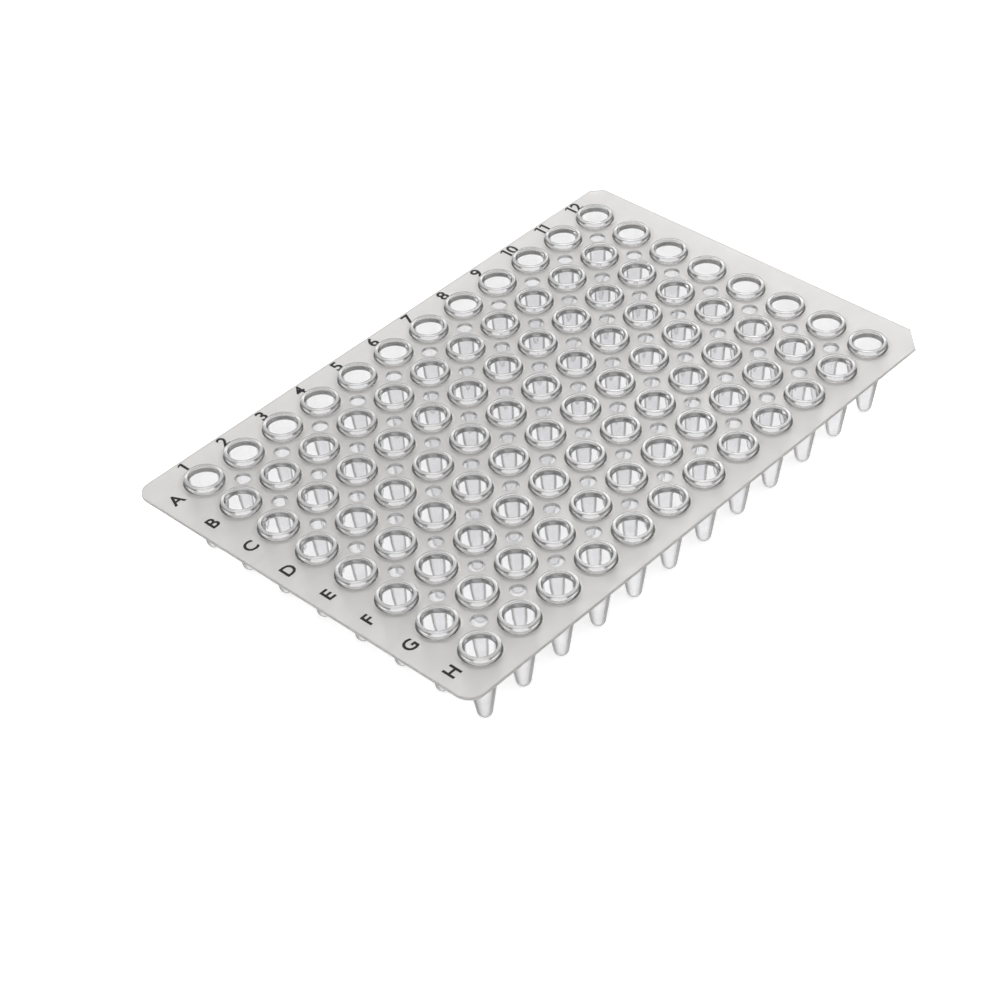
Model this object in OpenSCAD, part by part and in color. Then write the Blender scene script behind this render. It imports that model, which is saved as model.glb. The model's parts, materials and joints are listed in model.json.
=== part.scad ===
// Well plate with a bare deck and free-standing tapered wells, moulded in one piece.
// Columns run along +X, row A is the one furthest along +Y, and the wells stand on their tips at Z = 0.

/* [Wells] */
// Number of columns, counted along X
cols = 12; // [3:1:12]
// Number of rows, counted along Y
rows = 8; // [3:1:8]
// Distance between the centres of neighbouring wells
pitch = 9; // [8:0.5:12]
// Height of the plate, from the well tips to the top of the rims
height = 15.4; // [12:0.05:22]
// Outside diameter of a rim, and of the well where it leaves the deck
rim_d = 6.7; // [5.6:0.1:7.8]
// Thickness of the rim's wall
rim_wall = 0.62; // [0.45:0.01:0.9]
// Height of the rim above the deck
rim_h = 1.0; // [0.6:0.1:2]
// Radius of the ball end outside each well
tip_r = 1.35; // [1:0.05:1.8]
// Thickness of the tapered wall
wall = 0.35; // [0.25:0.05:0.5]

/* [Deck] */
// Thickness of the deck
deck_t = 0.65; // [0.5:0.05:1.2]
// Deck beyond the centres of column 1
margin_left = 9.5; // [7:0.1:12]
// Deck beyond the centres of the last column
margin_right = 8.5; // [7:0.1:12]
// Deck beyond the centres of row A
margin_back = 7; // [6:0.1:10]
// Deck beyond the centres of the last row
margin_front = 7; // [6:0.1:10]
// Radius of the two rounded corners, beside column 1
corner_r = 3; // [1:0.5:5]
// Leg of the small chamfer, at the back of the last column
small_chamfer = 2.1; // [1:0.1:4]
// Leg of the large chamfer, at the front of the last column
large_chamfer = 4; // [2:0.1:6]
// Diameter of the hole in the middle of each four wells
hole_d = 2.75; // [1:0.05:3.2]

/* [Hidden] */

$fn = 48;
eps = 0.05;

// Deck outline
deck_l = margin_left + (cols - 1) * pitch + margin_right;
deck_w = margin_back + (rows - 1) * pitch + margin_front;
left = -deck_l / 2;
right = deck_l / 2;
front = -deck_w / 2;
back = deck_w / 2;
first_x = left + margin_left;
first_y = back - margin_back;

// Levels
deck_top = height - rim_h;
deck_under = deck_top - deck_t;

// Radii
rim_r = rim_d / 2;
mouth_r = rim_r - rim_wall;
bore_tip_r = tip_r - wall;

// Half angle of the taper: the outside line from the deck's underside touches the ball end
reach = deck_under - tip_r;
taper = acos(tip_r / norm([rim_r, reach])) - atan2(reach, rim_r);
// Height at which the tapered cavity has widened to the straight mouth
mouth_z = tip_r + (mouth_r * cos(taper) - bore_tip_r) / sin(taper);

// Radius of the opening that each well fills in the deck
socket_r = mouth_r + rim_wall / 2;

function well_x(col) = first_x + col * pitch;
function well_y(row) = first_y - row * pitch;

// Half section of a round-nosed taper that widens to r at z and goes straight up from there to top
module nose_section(nose_r, r, z, top) {
    touch = [nose_r * cos(taper), tip_r - nose_r * sin(taper)];
    intersection() {
        translate([0, tip_r]) circle(r = nose_r);
        translate([0, tip_r - nose_r - eps]) square([nose_r + eps, nose_r + eps]);
    }
    polygon([[0, touch[1]], touch, [r, z], [r, top], [0, top]]);
}

// One well: a rim, a straight mouth and a tapered wall that ends in a ball
module well() {
    rotate_extrude() difference() {
        nose_section(tip_r, rim_r, deck_under, height);
        nose_section(bore_tip_r, mouth_r, mouth_z, height + eps);
    }
}

// Outline of the deck: two corners rounded, two cut off
module deck_outline() {
    polygon([
        [left + corner_r, front],
        [right - large_chamfer, front],
        [right, front + large_chamfer],
        [right, back - small_chamfer],
        [right - small_chamfer, back],
        [left + corner_r, back],
        [left, back - corner_r],
        [left, front + corner_r]
    ]);
    for (y = [front + corner_r, back - corner_r]) {
        translate([left + corner_r, y]) circle(r = corner_r);
    }
}

// Deck, open at each well and between each four wells
module deck() {
    translate([0, 0, deck_under]) linear_extrude(deck_t) difference() {
        deck_outline();
        for (col = [0 : cols - 1], row = [0 : rows - 1]) {
            translate([well_x(col), well_y(row)]) circle(r = socket_r);
        }
        for (col = [0.5 : cols - 1.5], row = [0.5 : rows - 1.5]) {
            translate([well_x(col), well_y(row)]) circle(d = hole_d);
        }
    }
}

module plate() {
    color("gainsboro") union() {
        deck();
        for (col = [0 : cols - 1], row = [0 : rows - 1]) {
            translate([well_x(col), well_y(row), 0]) well();
        }
    }
}

plate();
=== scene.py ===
"""A well plate of natural polypropylene with printed row letters and column numbers."""

import json
import math

import bmesh
import bpy
from mathutils import Matrix, Vector


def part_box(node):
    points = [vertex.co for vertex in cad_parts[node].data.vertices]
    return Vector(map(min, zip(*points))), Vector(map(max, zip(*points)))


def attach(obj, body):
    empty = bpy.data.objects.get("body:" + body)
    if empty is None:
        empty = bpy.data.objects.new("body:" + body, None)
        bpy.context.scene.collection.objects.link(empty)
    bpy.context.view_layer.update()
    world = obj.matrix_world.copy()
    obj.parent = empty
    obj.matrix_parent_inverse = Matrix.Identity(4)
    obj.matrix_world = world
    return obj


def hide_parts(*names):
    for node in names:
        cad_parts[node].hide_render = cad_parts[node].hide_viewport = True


MM = 0.001

# ---------------------------------------------------------------- sizes, mm

ROWS = "ABCDEFGH"
COLUMNS = range(1, 13)
PITCH = 9

# Deck
DECK_T = 0.65
CORNER_R = 3
SMALL_CHAMFER = 2.1
LARGE_CHAMFER = 4
HOLE_R = 1.375
DECK_EDGE_R = 0.12
HOLE_EDGE_R = 0.1
LIP_R = 1.6

# Wells
RIM_R = 3.35
MOUTH_R = 2.73
RIM_EDGE_R = 0.12
FOOT_R = 0.32
ROOT_R = 0.2
TIP_R = 1.35
WALL = 0.35
SOCKET_R = 4.1

# Steps around a well and around a hole, and along each kind of rounding
TURNS = 32
HOLE_TURNS = 16
CORNER_STEPS = 8
EDGE_STEPS = 3
BALL_STEPS = 4
FOOT_STEPS = 5
LIP_STEPS = 2

# Points nearer than this become one
WELD = 0.0005

# Labels
LETTER_H = 2.5
LETTER_OFFSET = 6.35
NUMBER_H = 2.6
NUMBER_OFFSET = 5.3
INK_T = 0.015
# Height of a capital as a share of the type size, what each stroke gains, and the slanted head of a 1
CAPITAL_SHARE = 0.73
STROKE_GAIN = 0.085
GLYPH_GAP = 0.35
FLAG = 0.55

# Camera: the point it looks at, in the plate's frame, and where it stands from there
LOOKS_AT = (-21.28, -10.03, 14.4)
DISTANCE = 409
AZIMUTH = -134.83
ELEVATION = 40.41
ROLL = -3.77
LENS = 90

# Studio: the glow that the floor shows the camera, and the surroundings' light, level and from 30 degrees up
FLOOR_GLOW = 0.62
LEVEL_LIGHT = 0.75
HIGH_LIGHT = 1.0


# ---------------------------------------------------------------- the frame

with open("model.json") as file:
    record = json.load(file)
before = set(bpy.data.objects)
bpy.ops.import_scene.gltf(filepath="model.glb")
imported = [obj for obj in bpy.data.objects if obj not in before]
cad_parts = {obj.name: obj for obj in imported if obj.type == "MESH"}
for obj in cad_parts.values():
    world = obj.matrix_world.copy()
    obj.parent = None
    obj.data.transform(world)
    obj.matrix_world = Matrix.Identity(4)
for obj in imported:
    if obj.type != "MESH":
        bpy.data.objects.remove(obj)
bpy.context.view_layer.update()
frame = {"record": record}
plate_low, plate_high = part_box("plate")
mounts = {m["name"]: m for m in frame["record"]["mounts"]}
first = Vector(mounts["well_a1"]["pos_m"]) / MM
top = plate_high.z / MM
under = mounts["deck_underside"]["pos_m"][2] / MM
deck = under + DECK_T


def well_centre(row, column):
    """Where the axis of a well crosses the frame's floor, in mm."""
    return Vector((first.x + column * PITCH, first.y - row * PITCH, 0))


# ---------------------------------------------------------------- the moulding

FROSTED, POLISHED, FOOT, RIM = range(4)


def arc(centre_r, centre_z, radius, start, end, steps):
    """Points of a rounded edge in a half section. Angles are in degrees, up from the outward level."""
    points = []
    for i in range(steps + 1):
        a = math.radians(start + (end - start) * i / steps)
        points.append((centre_r + radius * math.cos(a), centre_z + radius * math.sin(a)))
    return points


def well_sections():
    """Half sections of a well: its outside below the deck, and from the deck over the rim down the cavity."""
    reach = under - TIP_R
    taper = math.acos(TIP_R / math.hypot(RIM_R, reach)) - math.atan2(reach, RIM_R)
    slope = math.degrees(taper)
    cavity_r = TIP_R - WALL
    mouth_z = TIP_R + (MOUTH_R * math.cos(taper) - cavity_r) / math.sin(taper)

    root_z = under - ROOT_R
    root_r = RIM_R - ROOT_R * math.tan(taper)
    outside = arc(0, TIP_R, TIP_R, -90, -slope, BALL_STEPS)
    outside += arc(root_r + ROOT_R, root_z, ROOT_R, 180, 90, EDGE_STEPS)
    outside.append((SOCKET_R, under))

    inside = [(SOCKET_R, deck)]
    inside += arc(RIM_R + FOOT_R, deck + FOOT_R, FOOT_R, 270, 180, FOOT_STEPS)
    inside += arc(RIM_R - RIM_EDGE_R, top - RIM_EDGE_R, RIM_EDGE_R, 0, 90, EDGE_STEPS)
    inside += arc(MOUTH_R + RIM_EDGE_R, top - RIM_EDGE_R, RIM_EDGE_R, 90, 180, EDGE_STEPS)
    inside.append((MOUTH_R, mouth_z))
    inside += arc(0, TIP_R, cavity_r, -slope, -90, BALL_STEPS)
    return outside, inside


def turned(name, sections, turns, finish):
    """Half sections, lists of (radius, height), spun about Z. finish picks each face's material."""
    bm = bmesh.new()
    for section in sections:
        line = [bm.verts.new((max(r, 0), 0, z)) for r, z in section]
        for a, b in zip(line, line[1:]):
            bm.edges.new((a, b))
    bmesh.ops.spin(
        bm,
        geom=bm.verts[:] + bm.edges[:],
        axis=(0, 0, 1),
        cent=(0, 0, 0),
        angle=math.tau,
        steps=turns,
        use_merge=True,
        use_duplicate=False,
    )
    bmesh.ops.remove_doubles(bm, verts=bm.verts, dist=WELD / 5)
    for face in bm.faces:
        face.smooth = True
        middle = face.calc_center_median()
        face.material_index = finish(middle.to_2d().length, middle.z)
    mesh = bpy.data.meshes.new(name)
    bm.to_mesh(mesh)
    bm.free()
    return mesh


def well_finish(r, z):
    """The surface of a well at a radius and a height."""
    if r > RIM_R + FOOT_R:
        return FROSTED
    if r > RIM_R and z > deck:
        return FOOT
    if z > top - RIM_EDGE_R:
        return RIM
    return POLISHED


def turned_well():
    """One well as a mesh."""
    return turned("turned_well", well_sections(), TURNS, well_finish)


def lip_finish(r, z):
    """The surface of a hole's lip: milky on its upright wall, matt on the deck around it."""
    return RIM if r < HOLE_R + HOLE_EDGE_R / 2 else FROSTED


def turned_lip():
    """The wall of one hole in the deck as a mesh: its rounded section spun about the hole's axis."""
    section = [(LIP_R, deck)]
    section += arc(HOLE_R + HOLE_EDGE_R, deck - HOLE_EDGE_R, HOLE_EDGE_R, 90, 180, LIP_STEPS)
    section += arc(HOLE_R + HOLE_EDGE_R, under + HOLE_EDGE_R, HOLE_EDGE_R, 180, 270, LIP_STEPS)
    section.append((LIP_R, under))
    return turned("turned_lip", [section], HOLE_TURNS, lip_finish)


def deck_band(bm):
    """The deck's outer edge: a box with two corners rounded and two cut off, open above and below."""
    low, high = plate_low / MM, plate_high / MM
    size = high - low
    size.z = DECK_T
    middle = (low + high) / 2
    middle.z = under + DECK_T / 2
    bmesh.ops.create_cube(bm, size=1, matrix=Matrix.Translation(middle) @ Matrix.Diagonal((*size, 1)))
    uprights = {}
    for edge in bm.edges:
        a, b = (v.co for v in edge.verts)
        if abs(a.z - b.z) > DECK_T / 2:
            uprights[a.x > middle.x, a.y > middle.y] = edge
    for where, cut, steps in (
        ((False, False), CORNER_R, CORNER_STEPS),
        ((False, True), CORNER_R, CORNER_STEPS),
        ((True, True), SMALL_CHAMFER, 1),
        ((True, False), LARGE_CHAMFER, 1),
    ):
        bmesh.ops.bevel(
            bm,
            geom=[uprights[where]],
            offset=cut,
            segments=steps,
            profile=0.5,
            affect="EDGES",
            material=-1,
        )
    flats = [f for f in bm.faces if abs(f.normal.z) > 0.5]
    bmesh.ops.bevel(
        bm,
        geom=[e for f in flats for e in f.edges],
        offset=DECK_EDGE_R,
        segments=EDGE_STEPS,
        profile=0.5,
        affect="EDGES",
        material=-1,
    )
    flats = sorted((f for f in bm.faces if abs(f.normal.z) > 0.5), key=lambda f: f.calc_area())[-2:]
    bmesh.ops.delete(bm, geom=flats, context="FACES_ONLY")


def deck_face(bm, level):
    """One face of the deck: its outline filled around the sockets of the wells and the lips of the holes."""
    for row in range(len(ROWS)):
        for column in range(len(COLUMNS)):
            place = Matrix.Translation(well_centre(row, column) + Vector((0, 0, level)))
            bmesh.ops.create_circle(bm, radius=SOCKET_R, segments=TURNS, matrix=place)
    for row in range(len(ROWS) - 1):
        for column in range(len(COLUMNS) - 1):
            place = Matrix.Translation(well_centre(row + 0.5, column + 0.5) + Vector((0, 0, level)))
            bmesh.ops.create_circle(bm, radius=LIP_R, segments=HOLE_TURNS, matrix=place)
    loops = [e for e in bm.edges if all(abs(v.co.z - level) < 2 * WELD for v in e.verts)]
    bmesh.ops.triangle_fill(bm, edges=loops, use_beauty=True, normal=(0, 0, 1))


def repeated(bm, mesh, places):
    """Copies of a turned mesh at each place."""
    at = Vector()
    for place in places:
        mesh.transform(Matrix.Translation(place - at))
        at = place
        bm.from_mesh(mesh)
    bpy.data.meshes.remove(mesh)


def moulding():
    """The whole moulding as one closed shell."""
    bm = bmesh.new()
    deck_band(bm)
    deck_face(bm, deck)
    deck_face(bm, under)
    for face in bm.faces:
        face.material_index = FROSTED
    rows, columns = len(ROWS), len(COLUMNS)
    wells = [well_centre(r, c) for r in range(rows) for c in range(columns)]
    holes = [well_centre(r + 0.5, c + 0.5) for r in range(rows - 1) for c in range(columns - 1)]
    repeated(bm, turned_lip(), holes)
    repeated(bm, turned_well(), wells)
    bmesh.ops.remove_doubles(bm, verts=bm.verts, dist=WELD)
    bmesh.ops.recalc_face_normals(bm, faces=bm.faces)
    bmesh.ops.scale(bm, verts=bm.verts, vec=(MM, MM, MM))
    return finished(bm, "plate_moulding")


def finished(bm, name):
    """A bmesh as an object of the scene."""
    mesh = bpy.data.meshes.new(name)
    bm.to_mesh(mesh)
    bm.free()
    piece = bpy.data.objects.new(name, mesh)
    bpy.context.scene.collection.objects.link(piece)
    return piece


# ---------------------------------------------------------------- the labels


def glyph(bm, letter, height, start):
    """One character as flat faces, rightwards from x = start, upwards from y = 0. Returns its end."""
    curve = bpy.data.curves.new("glyph", "FONT")
    curve.body = letter
    curve.size = height / CAPITAL_SHARE
    curve.offset = STROKE_GAIN
    curve.resolution_u = 3
    drawn = bpy.data.objects.new("glyph", curve)
    bpy.context.scene.collection.objects.link(drawn)
    bpy.context.view_layer.update()
    mesh = bpy.data.meshes.new_from_object(drawn)
    bpy.data.objects.remove(drawn)
    known = len(bm.verts)
    bm.from_mesh(mesh)
    bpy.data.meshes.remove(mesh)
    bm.verts.ensure_lookup_table()
    own = bm.verts[known:]
    low = min(v.co.x for v in own)
    high = max(v.co.x for v in own)
    if letter == "1":
        head = max(v.co.y for v in own)
        flag = ((0, 0), (-FLAG, -0.6 * FLAG), (-FLAG, -1.2 * FLAG), (0, -0.7 * FLAG))
        corners = [bm.verts.new((low + x, head + y, 0)) for x, y in flag]
        bm.faces.new(corners)
        own += corners
        low -= FLAG
    bmesh.ops.translate(bm, verts=own, vec=(start - low, 0, 0))
    return start + high - low


def printed(name, labels, height):
    """Printed characters as one thin mesh. labels holds (text, centre in mm)."""
    whole = bmesh.new()
    for text, centre in labels:
        bm = bmesh.new()
        end = -GLYPH_GAP
        for letter in text:
            end = glyph(bm, letter, height, end + GLYPH_GAP)
        bmesh.ops.translate(bm, verts=bm.verts, vec=centre - Vector((end / 2, height / 2, 0)))
        mesh = bpy.data.meshes.new(name)
        bm.to_mesh(mesh)
        bm.free()
        whole.from_mesh(mesh)
        bpy.data.meshes.remove(mesh)
    bmesh.ops.scale(whole, verts=whole.verts, vec=(MM, MM, MM))
    return finished(whole, name)


# ---------------------------------------------------------------- materials


def linear(hexa):
    """A colour written as sRGB hex, as linear light."""
    parts = [int(hexa[i : i + 2], 16) / 255 for i in (1, 3, 5)]
    return [*(c / 12.92 if c <= 0.04045 else ((c + 0.055) / 1.055) ** 2.4 for c in parts), 1]


def add(tree, kind, values=(), links=(), **settings):
    """One node with its settings, its constant inputs and what feeds its other inputs."""
    made = tree.nodes.new(kind)
    for key, value in settings.items():
        setattr(made, key, value)
    for key, value in dict(values).items():
        made.inputs[key].default_value = value
    for key, source in dict(links).items():
        tree.links.new(source, made.inputs[key])
    return made


def bare(name):
    """A new material with an empty node tree."""
    material = bpy.data.materials.new(name)
    material.use_nodes = True
    material.node_tree.nodes.clear()
    return material, material.node_tree


def by_facing(tree, stops):
    """A colour painted by view angle, from a square view (0) to a grazing one (1): painted shade that draws
    dark outlines where a wall is seen edge-on, partly standing for the longer way through a wall.
    """
    facing = add(tree, "ShaderNodeLayerWeight", {"Blend": 0.5}).outputs["Facing"]
    ramp = add(tree, "ShaderNodeValToRGB", links={"Fac": facing})
    places = sorted(stops)
    for element, place in zip(ramp.color_ramp.elements, (places[0], places[-1])):
        element.position = place
        element.color = linear(stops[place])
    for place in places[1:-1]:
        ramp.color_ramp.elements.new(place).color = linear(stops[place])
    return ramp.outputs["Color"]


def noise(tree, scale, detail, stretch=(1, 1, 1)):
    """Noise in the object's own space. scale is in features per metre."""
    place = add(tree, "ShaderNodeTexCoord").outputs["Object"]
    drawn = add(tree, "ShaderNodeMapping", {"Scale": stretch}, {"Vector": place})
    made = add(tree, "ShaderNodeTexNoise", {"Scale": scale, "Detail": detail}, {"Vector": drawn.outputs[0]})
    return made.outputs["Fac"]


def between(tree, value, low, high):
    """A number that follows a noise from low to high."""
    sized = add(
        tree,
        "ShaderNodeMapRange",
        {"From Min": 0.3, "From Max": 0.7, "To Min": low, "To Max": high},
        {"Value": value},
    )
    return sized.outputs[0]


def polypropylene(name, colour, roughness, clearness, density, grain):
    """Translucent natural polypropylene, injection moulded. Its surfaces let all light out from inside."""
    material, tree = bare(name)
    within = add(tree, "ShaderNodeNewGeometry").outputs["Backfacing"]
    clear = add(tree, "ShaderNodeMapRange", {"To Min": clearness, "To Max": 1.0}, {"Value": within})

    # Haze: clouds of a few millimetres, and streaks along the flow of the melt from end to end
    clouds = noise(tree, 260, 2)
    streaks = noise(tree, 420, 2, (0.12, 1, 1))
    mixed = add(tree, "ShaderNodeMath", links={0: clouds, 1: streaks}, operation="ADD")
    haze = add(tree, "ShaderNodeMath", {1: 0.5}, {0: mixed.outputs[0]}, operation="MULTIPLY").outputs[0]
    shade = add(tree, "ShaderNodeHueSaturation", links={"Value": between(tree, haze, 0.95, 1.04)})
    # A table of colours by facing paints shade onto walls seen edge-on; a single colour is plain
    if isinstance(colour, str):
        shade.inputs["Color"].default_value = linear(colour)
    else:
        tree.links.new(by_facing(tree, colour), shade.inputs["Color"])

    # Grain: what the eroded or polished steel leaves on the skin
    skin_grain = add(
        tree,
        "ShaderNodeBump",
        {"Strength": grain, "Distance": 0.00002},
        {"Height": noise(tree, 5200, 2)},
    )
    skin = add(
        tree,
        "ShaderNodeBsdfPrincipled",
        {"IOR": 1.49},
        {
            "Base Color": shade.outputs[0],
            "Roughness": between(tree, clouds, roughness * 0.85, roughness * 1.2),
            "Transmission Weight": clear.outputs[0],
            "Normal": skin_grain.outputs[0],
        },
    )
    depth = add(tree, "ShaderNodeVolumeAbsorption", {"Color": linear("#BCBBB8"), "Density": density})
    add(
        tree,
        "ShaderNodeOutputMaterial",
        links={"Surface": skin.outputs["BSDF"], "Volume": depth.outputs[0]},
    )
    return material


def pad_ink():
    """Black pad-printing ink: matt, and a little thinner where the pad lifted off."""
    material, tree = bare("pad_printing_ink")
    thin = noise(tree, 2600, 3)
    shade = add(
        tree,
        "ShaderNodeHueSaturation",
        {"Color": linear("#131214")},
        {"Value": between(tree, thin, 0.5, 2.2)},
    )
    skin = add(
        tree,
        "ShaderNodeBsdfPrincipled",
        {"IOR": 1.5, "Specular IOR Level": 0.25},
        {"Base Color": shade.outputs[0], "Roughness": between(tree, thin, 0.55, 0.8)},
    )
    add(tree, "ShaderNodeOutputMaterial", links={"Surface": skin.outputs["BSDF"]})
    return material


def white_sweep():
    """White paint. The camera sees it with a glow added, and gloss and clear plastic see plain white."""
    material, tree = bare("painted_white_sweep")
    path = add(tree, "ShaderNodeLightPath")
    through = add(
        tree,
        "ShaderNodeMath",
        links={0: path.outputs["Is Glossy Ray"], 1: path.outputs["Is Transmission Ray"]},
        operation="MAXIMUM",
    )
    paint = add(tree, "ShaderNodeBsdfDiffuse", {"Color": linear("#F2F2F2")})
    glow = add(tree, "ShaderNodeEmission", {"Color": (1, 1, 1, 1), "Strength": FLOOR_GLOW})
    lifted = add(tree, "ShaderNodeAddShader", links={0: paint.outputs[0], 1: glow.outputs[0]})
    white = add(tree, "ShaderNodeEmission", {"Color": (1, 1, 1, 1), "Strength": 1.0})
    seen = add(
        tree,
        "ShaderNodeMixShader",
        links={0: path.outputs["Is Camera Ray"], 1: paint.outputs[0], 2: lifted.outputs[0]},
    )
    shown = add(
        tree,
        "ShaderNodeMixShader",
        links={0: through.outputs[0], 1: seen.outputs[0], 2: white.outputs[0]},
    )
    add(tree, "ShaderNodeOutputMaterial", links={"Surface": shown.outputs[0]})
    return material


# ---------------------------------------------------------------- build

# Painted shade on a polished wall: its colour from where it is seen square to where it is seen edge-on,
# darkened edge-on to draw the dark outlines of the walls
PAINTED_EDGE_SHADE = {0.45: "#F9F9FA", 0.58: "#9C9B9A", 0.72: "#2B2A29"}

plate = moulding()
for finish in (
    # Deck: matt, from a spark-eroded face of the mould
    polypropylene("polypropylene_frosted", "#C9C7C5", roughness=0.38, clearness=0.62, density=60, grain=0.5),
    # Wells: clear and glossy, from polished pins and cavities, with painted shade that darkens their walls
    # where they are seen edge-on
    polypropylene("polypropylene_polished", PAINTED_EDGE_SHADE, roughness=0.05, clearness=0.94, density=40, grain=0.1),
    # Fillets round the rims: polished, over the full depth of the deck, tinted grey as painted shade for the
    # dark band at the foot of each rim
    polypropylene("polypropylene_foot", "#D8D6D4", roughness=0.12, clearness=0.9, density=40, grain=0.1),
    # Tops of the rims: slightly milky, from the sleeves that strip the part
    polypropylene("polypropylene_rim", "#F6F6F6", roughness=0.15, clearness=0.7, density=40, grain=0.2),
):
    plate.data.materials.append(finish)
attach(plate, "root")
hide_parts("plate")

ink = pad_ink()
on_deck = Vector((0, 0, deck + INK_T))
row_letters = printed(
    "row_letters",
    [(text, well_centre(row, 0) - Vector((LETTER_OFFSET, 0, 0)) + on_deck) for row, text in enumerate(ROWS)],
    LETTER_H,
)
column_numbers = printed(
    "column_numbers",
    [(str(n), well_centre(0, n - 1) + Vector((0, NUMBER_OFFSET, 0)) + on_deck) for n in COLUMNS],
    NUMBER_H,
)
for piece in (row_letters, column_numbers):
    piece.data.materials.append(ink)
    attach(piece, "root")

# ---------------------------------------------------------------- studio

floor_bm = bmesh.new()
bmesh.ops.create_grid(floor_bm, x_segments=1, y_segments=1, size=0.5)
floor = finished(floor_bm, "sweep")
floor.data.materials.append(white_sweep())

world = bpy.data.worlds.new("studio")
bpy.context.scene.world = world
world.use_nodes = True
tree = world.node_tree
tree.nodes.clear()
direction = add(tree, "ShaderNodeTexCoord").outputs["Generated"]
height = add(tree, "ShaderNodeSeparateXYZ", links={"Vector": direction}).outputs["Z"]
sky = add(
    tree,
    "ShaderNodeMapRange",
    {"From Min": 0.0, "From Max": 0.5, "To Min": LEVEL_LIGHT, "To Max": HIGH_LIGHT},
    {"Value": height},
)
path = add(tree, "ShaderNodeLightPath")
white = add(
    tree,
    "ShaderNodeMath",
    links={0: sky.outputs[0], 1: path.outputs["Is Camera Ray"]},
    operation="MAXIMUM",
)
lit = add(tree, "ShaderNodeBackground", {"Color": (1, 1, 1, 1)}, {"Strength": white.outputs[0]})
add(tree, "ShaderNodeOutputWorld", links={"Surface": lit.outputs[0]})


def lamp(name, place, aim, size, power):
    """A square softbox that stands at place and faces aim. Metres and watts."""
    light = bpy.data.lights.new(name, "AREA")
    light.shape = "SQUARE"
    light.size = size
    light.energy = power
    made = bpy.data.objects.new(name, light)
    made.location = place
    made.rotation_euler = (Vector(aim) - Vector(place)).to_track_quat("-Z", "Y").to_euler()
    bpy.context.scene.collection.objects.link(made)
    return made


lamp("softbox_back", (0.5, 0.6, 0.9), (0, 0, 0), 0.6, 3)
lamp("softbox_end", (0.2, 0.1, 0.22), (0.05, 0.02, 0.014), 0.15, 0.25)

azimuth, elevation, roll = (math.radians(a) for a in (AZIMUTH, ELEVATION, ROLL))
outward = math.cos(elevation)
back = Vector((outward * math.cos(azimuth), outward * math.sin(azimuth), math.sin(elevation)))
level = Vector((0, 0, 1)).cross(back).normalized()
upward = back.cross(level)
right = level * math.cos(roll) + upward * math.sin(roll)
up = upward * math.cos(roll) - level * math.sin(roll)
camera = bpy.data.objects.new("camera", bpy.data.cameras.new("camera"))
camera.data.lens = LENS
camera.data.sensor_width = 36
camera.data.clip_start = 0.01
stand = (Vector(LOOKS_AT) + back * DISTANCE) * MM
camera.matrix_world = Matrix.Translation(stand) @ Matrix((right, up, back)).transposed().to_4x4()
bpy.context.scene.collection.objects.link(camera)
bpy.context.scene.camera = camera

bpy.context.scene.view_settings.view_transform = "Standard"
